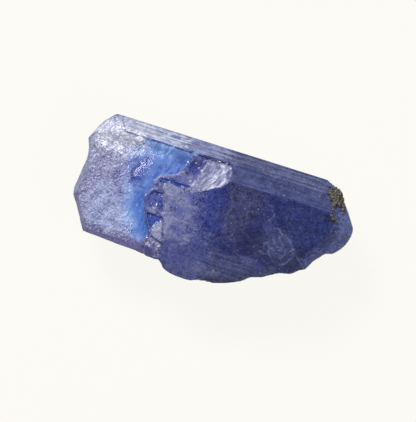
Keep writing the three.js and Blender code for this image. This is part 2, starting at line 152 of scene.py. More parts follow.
# The etched end: where it stops, its brightest, bluest and dullest parts, and where it is pitted.
PALE_EDGE = [
    (-9.8, 9), (-9.7, 6.0), (-9.9, 4.8), (-10.3, 3.6), (-10.4, 2.4), (-10.0, 1.0), (-9.6, -0.4),
    (-9.5, -2.0), (-9.0, -3.6), (-7.8, -4.8), (-7.0, -5.6), (-6.6, -7),
]
FROST_AREA = [
    (-14.6, 8.5), (-12.6, 6.5), (-9.8, 6.4), (-9.9, 4.9), (-12.0, 4.2), (-13.8, 3.8), (-15.6, 4.8),
    (-15.4, 8.5),
]
SILVER_AREA = [
    (-12.8, 0.2), (-10.9, 0.2), (-9.8, -1.6), (-9.2, -4.0), (-9.6, -5.3), (-12.8, -5.1), (-13.6, -2.6),
]
MAUVE_AREA = [
    (-16.5, 3.6), (-13.0, 3.3), (-10.6, 2.7), (-11.2, 0.9), (-13.4, 0.4), (-14.3, -2.0), (-13.8, -5.4),
    (-17, -5),
]
PITS = [
    (-14.8, 3.7, 0.2), (-14.4, 3.3, 0.18), (-14.6, 3.0, 0.14), (-13.5, 2.8, 0.18), (-13.1, 4.7, 0.14),
    (-12.9, 3.2, 0.14), (-13.4, 1.1, 0.13), (-11.1, 2.8, 0.15), (-12.6, 0.1, 0.14), (-11.3, 0.1, 0.16),
    (-10.9, -0.3, 0.14), (-10.5, -0.6, 0.18), (-8.8, -4.6, 0.17), (-8.1, -4.3, 0.15),
]

# The azure floor: its deeper blues on the near and the far side, the violet streak at its edge, and the dark
# blue with pale veins beside that streak.
AZURE_DEEP = [
    (-9.3, 0.6), (-7.9, 0.6), (-7.5, -0.6), (-6.7, -2.8), (-5.6, -4.4), (-6.2, -5.0), (-7.3, -4.4),
    (-8.3, -2.6),
]
AZURE_MID = [
    (-8.0, 4.2), (-6.2, 4.4), (-5.5, 6.0), (-4.2, 6.0), (-4.2, 3.8), (-5.0, 2.9), (-6.8, 2.7), (-7.0, 0.8),
    (-8.1, 0.8), (-8.0, 2.6),
]
VIOLET_AREA = [
    (-12.2, 1.4), (-11.4, 2.8), (-10.0, 4.1), (-9.2, 4.6), (-10.0, 3.3), (-10.7, 2.2), (-10.5, 1.0),
    (-10.0, -1.2), (-10.8, -1.4), (-11.4, 0.4),
]
BRUSHED_AREA = [
    (-10.0, 3.7), (-8.8, 4.7), (-8.0, 4.4), (-7.9, 2.8), (-8.2, 0.8), (-10.0, 0.4), (-10.8, 1.6),
    (-10.6, 2.6),
]

# The broken ground between the azure floor and the upper plate: lilac terraces, blue windows, a hatched
# facet, and a deep recess beside the chip.
TERRACES = [
    [(-6.6, 2.65), (-4.9, 2.8), (-4.5, 3.4), (-3.2, 3.45), (-2.6, 2.6), (-3.4, 2.45), (-6.4, 2.4)],
    [(-7.25, 1.9), (-6.5, 1.85), (-5.8, 1.6), (-5.9, 0.95), (-7.1, 0.95)],
    [(-7.3, -1.25), (-5.0, -1.25), (-5.0, -1.95), (-6.3, -1.85), (-7.1, -1.7)],
]
WINDOWS = [
    [(-6.95, 2.6), (-3.3, 2.6), (-2.9, 2.15), (-4.3, 1.75), (-5.7, 1.85), (-6.8, 1.8)],
    [(-6.2, 0.8), (-5.7, 0.8), (-5.2, -1.1), (-6.3, -1.1)],
    [(-7.7, -1.75), (-6.3, -1.9), (-5.0, -2.05), (-5.0, -2.55), (-5.6, -3.4), (-5.8, -4.0), (-6.7, -4.0)],
]
FACET_AREA = [(-8.2, -0.35), (-7.4, 0.8), (-6.2, 0.8), (-6.3, -1.1), (-7.7, -1.3)]
RECESS_AREA = [
    (-3.9, 5.5), (-2.4, 5.55), (-2.45, 5.2), (-2.65, 4.1), (-3.1, 3.7), (-3.7, 3.75), (-4.4, 3.9),
    (-4.1, 5.0),
]
RUBBLE_AREA = [(-6.6, -5.0), (-5.4, -4.5), (-4.4, -4.8), (-4.2, -6.0), (-4.4, -6.7), (-6.2, -6.4)]
# Painted highlights: small white glint spots painted into the colour, each as its place in the plan and its
# radius.
PAINTED_GLINTS = [
    (-5.93, 1.38, 0.14), (-5.55, 2.2, 0.09), (-3.35, 5.2, 0.07), (-2.9, 4.8, 0.07), (-3.3, 2.95, 0.08),
    (-4.5, -5.2, 0.12), (-4.9, -5.0, 0.08), (-3.85, -0.95, 0.07), (-8.35, -1.4, 0.08), (-7.85, -1.9, 0.08),
    (-6.05, -5.3, 0.12), (-5.85, -5.38, 0.14), (-5.6, -5.5, 0.12), (-4.75, -5.65, 0.09),
    (-5.3, -5.0, 0.07),
]

# The chip, the part of it whose ripples carry painted highlights, and the flake beside the torn edge.
CHIP_AREA = [
    (-2.2, 6.15), (-0.6, 6.3), (0.35, 6.05), (0.8, 5.4), (0.87, 4.5), (0.7, 3.9), (0.3, 3.4), (-0.8, 2.75),
    (-2.1, 2.0), (-2.9, 1.65), (-3.1, 2.2), (-2.6, 3.2), (-2.4, 4.4),
]
CHIP_PAINTED_HIGHLIGHT = [
    (-1.4, 3.7), (-0.8, 4.8), (-0.2, 5.6), (0.3, 5.9), (0.5, 5.4), (0.1, 4.9), (-0.5, 4.2), (-1.0, 3.4),
]
FLAKE_AREA = [
    (-5.45, -2.6), (-4.95, -2.6), (-4.7, -3.4), (-4.35, -4.75), (-5.0, -4.7), (-5.7, -4.35), (-5.9, -3.7),
    (-5.6, -3.1),
]

# The purple band along the etched end's near edge.
BAND_AREA = [
    (-17, -1.5), (-15.2, -2.0), (-14.5, -3.3), (-13.4, -4.95), (-9.0, -5.0), (-6.6, -5.3), (-5.2, -5.6),
    (-5.2, -8), (-17, -8),
]

# Parts of the upper plate: the dusty haze behind its torn edge with gaps of clear blue in it, a thinner
# veil, smoky brown, the deepest blues, a web of wisps, the paler tip, and the dull foot at the near side.
HAZE_AREA = [
    (-6.3, 2.2), (-4.6, 2.3), (-3.2, 2.1), (-2.4, 1.0), (-2.8, -0.6), (-2.2, -2.2), (-1.7, -4.0),
    (-3.2, -5.0), (-4.6, -5.4), (-5.6, -2.2), (-6.2, 0.0),
]
HAZE_GAPS = [
    [(-4.6, -0.2), (-3.2, -0.1), (-2.9, -1.2), (-4.0, -1.5)],
    [(-3.4, 1.5), (-2.2, 1.8), (-2.0, 0.7), (-3.0, 0.4)],
    [(-3.6, -2.6), (-2.6, -2.4), (-2.6, -3.4), (-3.4, -3.6)],
]
VEILED_AREA = [
    (-3.6, 2.4), (-1.6, 2.2), (-1.0, 0.8), (-0.6, -1.6), (0.8, -3.2), (0.4, -5.2), (-3.0, -6.0),
    (-4.8, -5.0), (-4.4, -1.0),
]
SMOKE_AREA = [(1.0, 4.2), (4.6, 4.3), (5.2, 2.6), (4.6, -0.2), (3.6, -2.0), (1.6, -1.6), (0.9, 1.2)]
DEEP_AREA = [(-1.8, 2.8), (1.2, 3.6), (1.2, -1.8), (0.2, -2.4), (-1.4, -1.9), (-1.8, 0.2)]
DARK_AREA = [(3.6, -0.4), (7.4, -0.4), (7.2, -2.2), (6.4, -3.4), (4.4, -3.2)]
WISP_AREA = [
    (7.0, 0.8), (8.8, 0.4), (10.2, -0.8), (11.8, -2.4), (10.2, -3.4), (7.4, -3.2), (6.2, -2.0),
    (6.2, -0.2),
]
TIP_AREA = [
    (13.4, 6.5), (13.8, 3.4), (14.0, 2.0), (13.6, 0.8), (12.6, -0.8), (11.6, -2.2), (13.0, -3.0), (17, 0),
    (17, 6.5),
]
FOOT_AREA = [(-0.8, -5.8), (1.0, -6.1), (2.8, -5.9), (2.9, -6.6), (1, -7.2), (-0.8, -7.0)]

# A clean patch on the steep far bevel.
GLASS_PATCH = [(-8.9, 7.9), (-8.0, 7.1), (-7.4, 6.7), (-6.4, 6.5), (-5.4, 6.7), (-5.1, 7.9)]

# Healed cracks that show as thin pale lines on the broad face.
TRACES = [
    [
        (7.3, 0.6), (7.9, 0.65), (8.3, 0.2), (8.8, 0.15), (9.8, -0.7), (10.2, -1.1), (10.9, -2.0),
        (11.8, -2.6),
    ],
    [(-1.8, -2.15), (-0.6, -2.2), (0.6, -2.25), (1.9, -2.4), (2.6, -2.8), (3.6, -3.2), (4.8, -3.8)],
    [(-4.2, -5.2), (-3.2, -4.8), (-2.0, -4.2)],
    [(0.55, -1.2), (0.7, 0.3), (0.6, 1.4), (0.2, 2.2)],
    [(1.9, -1.0), (1.8, 0.6), (2.0, 1.9), (1.5, 3.2), (1.0, 4.2)],
    [(3.9, 2.6), (3.8, 1.2), (4.3, 0.1), (4.0, -1.0)],
    [(5.2, 3.4), (6.4, 2.8), (6.9, 1.9), (6.3, 1.2)],
    [(7.6, -0.6), (8.2, -1.4), (9.0, -1.2), (9.4, -2.0), (8.8, -2.6)],
    [(8.3, 0.1), (8.2, -0.5), (8.8, -1.0), (8.9, -1.6), (8.2, -1.8), (7.6, -1.6), (7.4, -2.2), (7.9, -2.8)],
    [(9.4, -0.3), (10.1, -1.2), (10.2, -2.0), (9.8, -2.8), (9.1, -3.2)],
    [(6.6, -1.4), (7.2, -1.2), (7.5, -1.9), (7.1, -2.6), (6.4, -2.4)],
]
# The edges that the upper layer broke off along, first down to the floor and then to the terraces.
BREAKS = [
    [(-4.3, 3.9), (-4.8, 3.25), (-5.9, 2.75), (-6.6, 2.5), (-7.15, 1.7), (-7.0, 0.95)],
    [
        (-2.15, 5.3), (-2.45, 4.0), (-2.95, 2.15), (-4.4, 1.8), (-5.75, 1.95), (-5.95, 1.15), (-5.65, 0.1),
        (-5.2, -0.9), (-5.0, -1.9), (-4.75, -2.7),
    ],
    [(-7.2, -1.4), (-6.3, -1.65), (-5.1, -1.5)],
    [(-6.2, -5.25), (-5.6, -5.35), (-5.3, -5.6)],
]
# The dark lines: a crack across the azure floor, painted shade along the foot of the steep bevel, the
# facet's outer edge, a growth line on the floor, and the cracks beside the flake and at the near side.
SEAMS_AND_SHADE_LINES = [
    [(-9.2, 0.72), (-8.2, 0.75), (-7.4, 0.66), (-6.3, 0.84), (-5.8, 0.8)],
    [
        (-9.8, 6.15), (-8.6, 6.25), (-7.0, 6.2), (-5.6, 6.25), (-4.2, 6.2), (-2.4, 6.25), (0.4, 6.3),
        (4.4, 6.25),
    ],
    [(-7.1, 0.6), (-7.75, -0.4), (-7.2, -1.7), (-6.75, -2.9), (-6.0, -3.4)],
    [(-10.0, 1.9), (-9.8, 1.2), (-9.7, 2.6), (-9.3, 3.1)],
    [(-4.7, -3.3), (-4.4, -4.6), (-4.2, -5.8)],
    [(-6.5, -5.5), (-5.9, -5.9), (-5.2, -6.1), (-4.4, -6.3)],
]

# ---- looks ----

# How each zone looks, laid over those before it: its dull and bright colours, the pattern that mixes
# them, how much light it lets through, and its roughness. NAVY lies under them all.
NAVY = ((6, 22, 84), (50, 68, 144), "veil", 0.74, 0.16)
LOOKS = {
    "smoke": ((30, 30, 66), (72, 74, 132), "veil", 0.66, 0.20),
    "deep": ((8, 28, 122), (58, 78, 170), "veil", 0.72, 0.16),
    "dark": ((2, 8, 44), (34, 42, 104), "veil", 0.72, 0.16),
    "wisp": ((8, 20, 68), (56, 70, 128), "veil", 0.66, 0.22),
    "near": ((50, 56, 104), (76, 82, 130), "streaks", 0.54, 0.26),
    "near_pale": ((58, 66, 128), (90, 98, 158), "streaks", 0.50, 0.26),
    "far": ((54, 64, 112), (76, 86, 136), "streaks", 0.52, 0.24),
    "veiled": ((40, 52, 124), (80, 90, 156), "felt", 0.56, 0.26),
    "haze": ((84, 90, 142), (130, 134, 176), "felt", 0.42, 0.38),
    "gap": ((34, 54, 150), (84, 96, 170), "felt", 0.60, 0.22),
    "foot": ((62, 66, 114), (98, 102, 146), "dust", 0.44, 0.34),
    "steep": ((56, 66, 116), (80, 92, 148), "streaks", 0.50, 0.24),
    "steep_mid": ((102, 106, 154), (136, 142, 184), "streaks", 0.36, 0.30),
    "steep_pale": ((148, 152, 184), (194, 198, 218), "streaks", 0.28, 0.36),
    "patch": ((118, 138, 192), (208, 216, 232), "streaks", 0.45, 0.20),
    "tip": ((78, 90, 150), (108, 120, 176), "felt", 0.50, 0.26),
    "azure": ((110, 150, 220), (148, 180, 236), "strokes", 0.38, 0.20),
    "azure_mid": ((66, 104, 190), (98, 132, 208), "strokes", 0.42, 0.18),
    "azure_deep": ((60, 108, 198), (86, 128, 208), "strokes", 0.42, 0.18),
    "brushed": ((36, 64, 166), (90, 116, 198), "veins", 0.44, 0.17),
    "pale": ((95, 101, 150), (165, 171, 208), "veins", 0.26, 0.34),
    "mauve": ((90, 90, 140), (162, 164, 202), "veins", 0.26, 0.34),
    "silver": ((104, 114, 163), (147, 158, 200), "hatch", 0.26, 0.36),
    "frost": ((184, 187, 220), (254, 254, 253), "veins", 0.20, 0.36),
    "violet": ((54, 54, 134), (100, 102, 178), "veins", 0.36, 0.26),
    "ledge": ((47, 55, 129), (81, 87, 155), "dust", 0.45, 0.38),
    "facet": ((30, 44, 126), (86, 100, 172), "strokes", 0.45, 0.29),
    "terrace": ((54, 62, 128), (90, 96, 160), "dust", 0.40, 0.42),
    "window": ((26, 54, 152), (58, 94, 186), "veil", 0.52, 0.20),
    "recess": ((10, 24, 116), (44, 60, 154), "felt", 0.55, 0.20),
    # scarp: the ledge's steep step walls and the floor at their foot, painted dark blue as shade.
    "scarp": ((32, 40, 112), (60, 70, 142), "dust", 0.15, 0.60),
    "rubble": ((44, 46, 98), (148, 150, 192), "dust", 0.45, 0.34),
    "wall": ((48, 50, 106), (86, 88, 150), "dust", 0.45, 0.32),
    "band": ((62, 56, 120), (94, 90, 152), "dust", 0.40, 0.34),
    # near_face_painted_light: faces turned to the near side, painted lighter as light that the lamps don't
    # give them.
    "near_face_painted_light": ((98, 88, 162), (138, 130, 200), "dust", 0.36, 0.34),
    # rim: painted shade, a dark line along the near rim of the top.
    "rim": ((26, 24, 60), (46, 44, 86), "dust", 0.50, 0.30),
    "edge": ((70, 62, 128), (102, 96, 158), "dust", 0.45, 0.34),
    "chip": ((80, 84, 130), (134, 136, 172), "ripple", 0.28, 0.38),
    # chip_painted_highlight: the chip's bright ripples, painted highlights.
    "chip_painted_highlight": ((90, 94, 138), (164, 166, 194), "ripple", 0.25, 0.38),
    "flake": ((104, 104, 142), (136, 138, 172), "dust", 0.28, 0.50),
}
# How much more the dull parts of a zone let through than its looks say, and the bright parts less.
CLEARER = 0.10

# The colours of the fine marks.
TRACE_PALE = (140, 148, 190)
BREAK_PALE = (152, 150, 184)
SEAM_AND_SHADE_DARK = (44, 54, 116)
ETCH_DARK = (84, 90, 146)
FIBRE_PALE = (146, 150, 188)
# Painted highlight colour of the glint spots.
PAINTED_GLINT_WHITE = (240, 242, 250)
SPECK_PALE = (196, 200, 226)
SPECK_DARK = (58, 52, 66)
# Painted highlight colour of the sparkles on the etched end.
PAINTED_SPARKLE_WHITE = (232, 234, 246)


# ---- making the camera, the light and the floor ----


def linear(colour):
    """A display colour from 0 to 255 as the linear RGBA that nodes take."""
    share = [c / 255 for c in colour]
    return (*[c / 12.92 if c <= 0.04045 else ((c + 0.055) / 1.055) ** 2.4 for c in share], 1.0)


def make_camera():
    """The photo's view: from the near side and nearly straight down, with the prism's axis tilted."""
    back = Vector((0, -math.cos(math.radians(ELEVATION)), math.sin(math.radians(ELEVATION))))
    right = Vector((1, 0, 0))
    up = back.cross(right)
    tilt = math.radians(TILT)
    turned_right = right * math.cos(tilt) + up * math.sin(tilt)
    turned_up = up * math.cos(tilt) - right * math.sin(tilt)
    data = bpy.data.cameras.new("camera")
    data.lens = data.sensor_width * LENS_DISTANCE / PICTURE_SPAN
    data.clip_start = CLIP_START
    data.clip_end = CLIP_END
    camera = bpy.data.objects.new("camera", data)
    bpy.context.scene.collection.objects.link(camera)
    turn = Matrix((turned_right, turned_up, back)).transposed()
    target = Vector((AIM - SHIFT) * MM)
    camera.matrix_world = Matrix.Translation(target + back * LENS_DISTANCE) @ turn.to_4x4()
    bpy.context.scene.camera = camera


def area_light(name, place, size, watts):
    """A round light that faces the middle of the frame."""
    data = bpy.data.lights.new(name, "AREA")
    data.shape = "DISK"
    data.size = size * MM
    data.energy = watts
    light = bpy.data.objects.new(name, data)
    place = Vector(place) * MM
    light.location = place
    light.rotation_euler = place.to_track_quat("Z", "Y").to_euler()
    bpy.context.scene.collection.objects.link(light)


def make_light():
    """Two lights and an even sky."""
    area_light("key", *KEY_LIGHT)
    area_light("fill", *FILL_LIGHT)
    world = bpy.data.worlds.new("studio")
    world.use_nodes = True
    sky = world.node_tree.nodes["Background"]
    feed(sky, {"Color": (1, 1, 1, 1), "Strength": WORLD_STRENGTH})
    bpy.context.scene.world = world
    bpy.context.scene.view_settings.view_transform = "Standard"


def make_floor():
    """A wide pale floor that shines softly."""
    mesh = bpy.data.meshes.new("floor")
    corners = [(x * FLOOR_HALF, y * FLOOR_HALF, 0) for x, y in ((-1, -1), (1, -1), (1, 1), (-1, 1))]
    mesh.from_pydata(corners, [], [(0, 1, 2, 3)])
    floor = bpy.data.objects.new("floor", mesh)
    floor.location.z = -FLOOR_DROP
    bpy.context.scene.collection.objects.link(floor)
    material, _, shader = new_material("floor")
    dull = (*[FLOOR_WHITENESS * c for c in linear(FLOOR)[:3]], 1)
    feed(shader, {"Base Color": dull, "Roughness": 0.9, "Specular IOR Level": 0.1})
    feed(shader, {"Emission Color": linear(FLOOR), "Emission Strength": FLOOR_GLOW})
    mesh.materials.append(material)


# ---- node helpers ----


def feed(node, inputs):
    """Gives a node its inputs, each a number, a colour, or another node's output."""
    for key, value in inputs.items():
        socket = node.inputs[key]
        if isinstance(value, bpy.types.NodeSocket):
            node.id_data.links.new(value, socket)
        else:
            socket.default_value = value


def put(tree, kind, inputs=None, **settings):
    """A new node with its inputs and settings."""
    made = tree.nodes.new(kind)
    for key, value in settings.items():
        setattr(made, key, value)
    feed(made, inputs or {})
    return made


def maths(tree, operation, a, b=0.0, c=0.5, clamp=False):
    return put(tree, "ShaderNodeMath", {0: a, 1: b, 2: c}, operation=operation, use_clamp=clamp).outputs[0]


def times(tree, a, b):
    return maths(tree, "MULTIPLY", a, b)


def blend(tree, share, a, b):
    """Colour a where share is 0, colour b where it is 1."""
    return put(tree, "ShaderNodeMix", {0: share, 6: a, 7: b}, data_type="RGBA").outputs[2]


def mix(tree, share, a, b):
    """Number a where share is 0, number b where it is 1."""
    return put(tree, "ShaderNodeMix", {0: share, 2: a, 3: b}).outputs[0]


def average(tree, a, b, share):
    """a and b added, with that share of b."""
    return maths(tree, "ADD", times(tree, a, 1 - share), times(tree, b, share))


def between(tree, value, low, high, to_low=0.0, to_high=1.0):
    """The value's range low to high, smoothed and stretched to the range to_low to to_high."""
    inputs = {"Value": value, 1: low, 2: high, 3: to_low, 4: to_high}
    return put(tree, "ShaderNodeMapRange", inputs, interpolation_type="SMOOTHSTEP").outputs[0]


def millimetres(tree, stretch=(1, 1, 1), turn=(0, 0, 0)):
    """Object coordinates in millimetres, turned about the axes and then stretched."""
    place = put(tree, "ShaderNodeTexCoord").outputs["Object"]
    rotation = [math.radians(a) for a in turn]
    turned = put(tree, "ShaderNodeMapping", {"Vector": place, "Rotation": rotation}).outputs[0]
    scale = [s / MM for s in stretch]
    return put(tree, "ShaderNodeMapping", {"Vector": turned, "Scale": scale}).outputs[0]


def clouds(tree, vector, scale, detail=3.0, roughness=0.55, distortion=0.0):
    """Noise round 0.5."""
    inputs = {"Vector": vector, "Scale": scale, "Detail": detail, "Roughness": roughness}
    return put(tree, "ShaderNodeTexNoise", {**inputs, "Distortion": distortion}).outputs["Fac"]


def cells(tree, vector, scale):
    """The distance to the nearest of scattered points."""
    return put(tree, "ShaderNodeTexVoronoi", {"Vector": vector, "Scale": scale}).outputs["Distance"]


def bumped(tree, height, strength, depth):
    """The surface's normal, bent as if it had that height."""
    inputs = {"Height": height, "Strength": strength, "Distance": depth * MM}
    return put(tree, "ShaderNodeBump", inputs).outputs["Normal"]


def attribute(tree, name):
    """A zone's weight, as crystal_skin() left it on the mesh."""
    return put(tree, "ShaderNodeAttribute", attribute_name=name).outputs["Fac"]


def new_material(name):
    material = bpy.data.materials.new(name)
    material.use_nodes = True
    tree = material.node_tree
    return material, tree, tree.nodes["Principled BSDF"]


# ---- places on the skin ----


def inside(points, outline, soft):
    """1 inside an outline, 0 outside, with an edge as wide as soft."""
    corners = np.array(outline, float)
    crossings = np.zeros(len(points), bool)
    nearest = np.full(len(points), 1e9)
    for a, b in zip(corners, np.roll(corners, -1, axis=0)):
        nearest = np.minimum(nearest, to_segment(points, a, b))
        spans = (a[1] > points[:, 1]) != (b[1] > points[:, 1])
        rise = b[1] - a[1] if b[1] != a[1] else 1e-9
        at = a[0] + (points[:, 1] - a[1]) * (b[0] - a[0]) / rise
        crossings ^= spans & (points[:, 0] < at)
    signed = np.where(crossings, nearest, -nearest)
    return ramp(signed, -soft / 2, soft / 2)


def to_segment(points, a, b):
    """Each point's distance from the stretch between a and b."""
    way = b - a
    t = np.clip((points - a) @ way / max(way @ way, 1e-12), 0, 1)
    return np.linalg.norm(points - a - t[:, None] * way, axis=1)


def ramp(x, low, high):
    """0 up to low, 1 from high on, and smooth between them."""
    t = np.clip((x - low) / (high - low), 0, 1)
    return t * t * (3 - 2 * t)


def wander(points, size, amount, seed=7.3):
    """The points moved about by noise, so that a zone's edge is ragged."""
    moved = [noise.noise_vector(Vector((p[0] / size, p[1] / size, seed))) for p in points]
    return points + amount * np.array([(m.x, m.y) for m in moved])


def noise_spots(points, size, seed):
    """Where in Blender's noise each point lies: size, one number or three, is how wide its features get."""
    sizes = np.broadcast_to(size, 3)
    return [Vector(p / sizes) + Vector((seed, 0, 0)) for p in points]


def noise_at(points, size, seed):
    """Smooth noise from about -1 to 1."""
    return np.array([noise.noise(spot) for spot in noise_spots(points, size, seed)])


def dimples_at(points, size, seed):
    """Distance to the nearest of scattered points, 0 at a dimple's middle."""
    return np.array([noise.voronoi(spot)[0][0] for spot in noise_spots(points, size, seed)])


def facets_at(points, size, seed):
    """Cells, each a flat face tilted its own way: from about -0.5 to 0.5."""
    heights = []
    for spot in noise_spots(points, size, seed):
        middle = noise.voronoi(spot)[1][0]
        lean = noise.cell_vector(middle) - Vector((0.5, 0.5, 0.5))
        heights.append(2 * lean.dot(spot - middle))
    return np.array(heights)


def turned(points, degrees):
    """The points turned about the vertical."""
    c = math.cos(math.radians(degrees))
    s = math.sin(math.radians(degrees))
    x, y, z = points.T
    return np.stack([c * x + s * y, c * y - s * x, z], axis=1)


# ---- the crystal's skin ----


def welded(node):
    """A CAD node's mesh as arrays, with the vertices that its faces share made one."""
    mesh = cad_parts[node].data
    mesh.calc_loop_triangles()
    co = np.array([v.co for v in mesh.vertices])
    faces = np.array([t.vertices for t in mesh.loop_triangles])
    keys, back = np.unique(np.round(co, 7), axis=0, return_inverse=True)
    faces = back.reshape(-1)[faces]
    good = (faces[:, 0] != faces[:, 1]) & (faces[:, 1] != faces[:, 2]) & (faces[:, 0] != faces[:, 2])
    return keys, faces[good]


def mesh_of(name, vertices, faces):
    mesh = bpy.data.meshes.new(name)
    mesh.from_pydata([tuple(v) for v in vertices], [], [tuple(int(i) for i in f) for f in faces])
    piece = bpy.data.objects.new(name, mesh)
    bpy.context.scene.collection.objects.link(piece)
    return piece


def applied(piece):
    """Makes the piece's modifiers part of its mesh."""
    graph = bpy.context.evaluated_depsgraph_get()
    made = bpy.data.meshes.new_from_object(piece.evaluated_get(graph))
    piece.modifiers.clear()
    old = piece.data
    piece.data = made
    bpy.data.meshes.remove(old)


def sharp_edges(vertices, faces):
    """Where two faces meet at more than SHARP: the edges' two ends, and the mean of the faces' normals."""
    a, b, c = (vertices[faces[:, i]] for i in range(3))
    normals = np.cross(b - a, c - a)
    normals /= np.maximum(np.linalg.norm(normals, axis=1), 1e-15)[:, None]
    sides = np.concatenate([faces[:, [0, 1]], faces[:, [1, 2]], faces[:, [2, 0]]])
    sides.sort(axis=1)
    owner = np.tile(np.arange(len(faces)), 3)
    order = np.lexsort((sides[:, 1], sides[:, 0]))
    sides, owner = sides[order], owner[order]
    pair = np.flatnonzero((sides[:-1] == sides[1:]).all(axis=1))
    one, other = normals[owner[pair]], normals[owner[pair + 1]]
    bent = (one * other).sum(axis=1) < math.cos(SHARP)
    ends = vertices[sides[pair[bent]]]
    return ends[:, 0], ends[:, 1], (one + other)[bent]


def edge_points(vertices, faces, step):
    """Points at every step along the sharp edges, with the mean normal there."""
    starts, ends, normals = sharp_edges(vertices, faces)
    counts = np.maximum(1, np.ceil(np.linalg.norm(ends - starts, axis=1) / step)).astype(int)
    which = np.repeat(np.arange(len(starts)), counts)
    first = np.cumsum(counts) - counts
    t = (np.arange(len(which)) - first[which] + 0.5) / counts[which]
    points = starts[which] + t[:, None] * (ends - starts)[which]
    normals = normals[which]
    return points, normals / np.maximum(np.linalg.norm(normals, axis=1), 1e-9)[:, None]


def nearest_of(points):
    """A tree that finds the nearest of the points."""
    tree = KDTree(len(points))
    for i, point in enumerate(points):
        tree.insert(point, i)
    tree.balance()
    return tree


def remeshed(name, node, voxel):
    """A node's shape in even facets that lie exactly on its faces and edges."""
    vertices, faces = welded(node)
    piece = mesh_of(name, vertices, faces)
    remesh = piece.modifiers.new("even", "REMESH")
    remesh.mode = "VOXEL"
    remesh.voxel_size = voxel
    applied(piece)
    tree = BVHTree.FromPolygons([Vector(v) for v in vertices], [tuple(int(i) for i in f) for f in faces])
    hits = [tree.find_nearest(v.co) for v in piece.data.vertices]
    co = np.array([h[0] for h in hits])
    normals = np.array([h[1] for h in hits])
    edge_co, edge_normals = edge_points(vertices, faces, EDGE_STEP * voxel)
    near = nearest_of(edge_co)
    for i, point in enumerate(co):
        _, edge, distance = near.find(point)
        if distance < EDGE_REACH * voxel:
            co[i] = edge_co[edge]
            normals[i] = edge_normals[edge]
    piece.data.vertices.foreach_set("co", co.astype(np.float32).ravel())
    return piece, co, normals


def shaped(piece, co, crease, material):
    """Moves the piece's vertices to co. Its edges are smooth unless they are bent more than crease."""
    mesh = piece.data
    mesh.vertices.foreach_set("co", co.astype(np.float32).ravel())
    mesh.shade_smooth()
    mesh.set_sharp_from_angle(angle=crease)
    mesh.update()
    mesh.materials.clear()
    mesh.materials.append(material)


def distance_to(points, chosen):
    """How far each point is from the nearest of the chosen ones."""
    tree = nearest_of(points[chosen])
    return np.array([tree.find(point)[2] for point in points])


def within(points, outlines, soft):
    """1 inside any of several outlines."""
    return np.max([inside(points, outline, soft) for outline in outlines], axis=0)


def along(points, lines, core, edge):
    """1 on any of several lines, falling to 0 at a distance of edge."""
    stretches = [np.array(ends) for line in lines for ends in zip(line[:-1], line[1:])]
    return 1 - ramp(np.min([to_segment(points, *ends) for ends in stretches], axis=0), core, edge)


def spots(points, places):
    """1 on each of several small round spots, given by place and radius."""
    x, y = points[:, 0], points[:, 1]
    return np.max([1 - ramp(np.hypot(x - u, y - v), 0.5 * r, 1.2 * r) for u, v, r in places], axis=0)


# ---- the crystal's zones and relief ----


def broken_ledge(mm):
    """1 on the torn strip between the etched floor and the upper plate."""
    x, y, z = mm.T
    drop = DRAWN_TOP - z
    between_levels = ramp(drop, 0.1, 0.2) * (1 - ramp(drop, 1.05, 1.15))
    strip = ramp(x, -8.2, -7.6) * (1 - ramp(x, -2.8, -2.0))
    azure_corner = ramp(y, 4.1, 4.4) * ramp(-x, 3.95, 4.1)
    return between_levels * strip * ramp(-y, -6.2, -5.9) * (1 - azure_corner)


def surface_at(mm, normals):
    """What the zones are worked out from: the plan, more or less ragged, and the broad kinds of face."""
    at = SimpleNamespace(mm=mm)
    at.x, at.y, at.z = mm.T
    at.drop = DRAWN_TOP - at.z
    at.tilt = normals[:, 1]
    at.rise = normals[:, 2]
    level = mm[:, :2]
    at.plan = wander(level, 1.3, 0.5) + 0.12 * (wander(level, 0.35, 1.0, 2.1) - level)
    at.torn = wander(at.plan, 0.6, 0.5, 4.4)
    at.fine = wander(level, 0.45, 0.14)
    at.rough = 0.5 * (at.fine + wander(level, 0.5, 0.4, 1.7))
    at.steep = ramp(at.tilt, 0.45, 0.58)
    at.bevel_foot = ramp(at.y, 5.8, 5.9) * ramp(at.z, 8.3, 8.45) * (1 - at.steep)
    at.upward = np.maximum(ramp(at.rise, 0.2, 0.6), at.bevel_foot)
    at.top = at.upward * ramp(at.z, 6, 7)
    at.pale = inside(at.plan, [(-18, 9), *PALE_EDGE, (-18, -9)], 3.0)
    at.ledge = broken_ledge(mm)
    low = 1 - ramp(at.z, 5.6, 6.6)
    side = at.x + (1.6 * noise_at(mm, 2.6, 11) + 1.4 * noise_at(mm, (0.9, 0.9, 0.5), 13)) * low
    at.side = side + 0.5 * (at.plan[:, 0] - at.x)  # x, with noise that breaks up borders on the walls
    return at


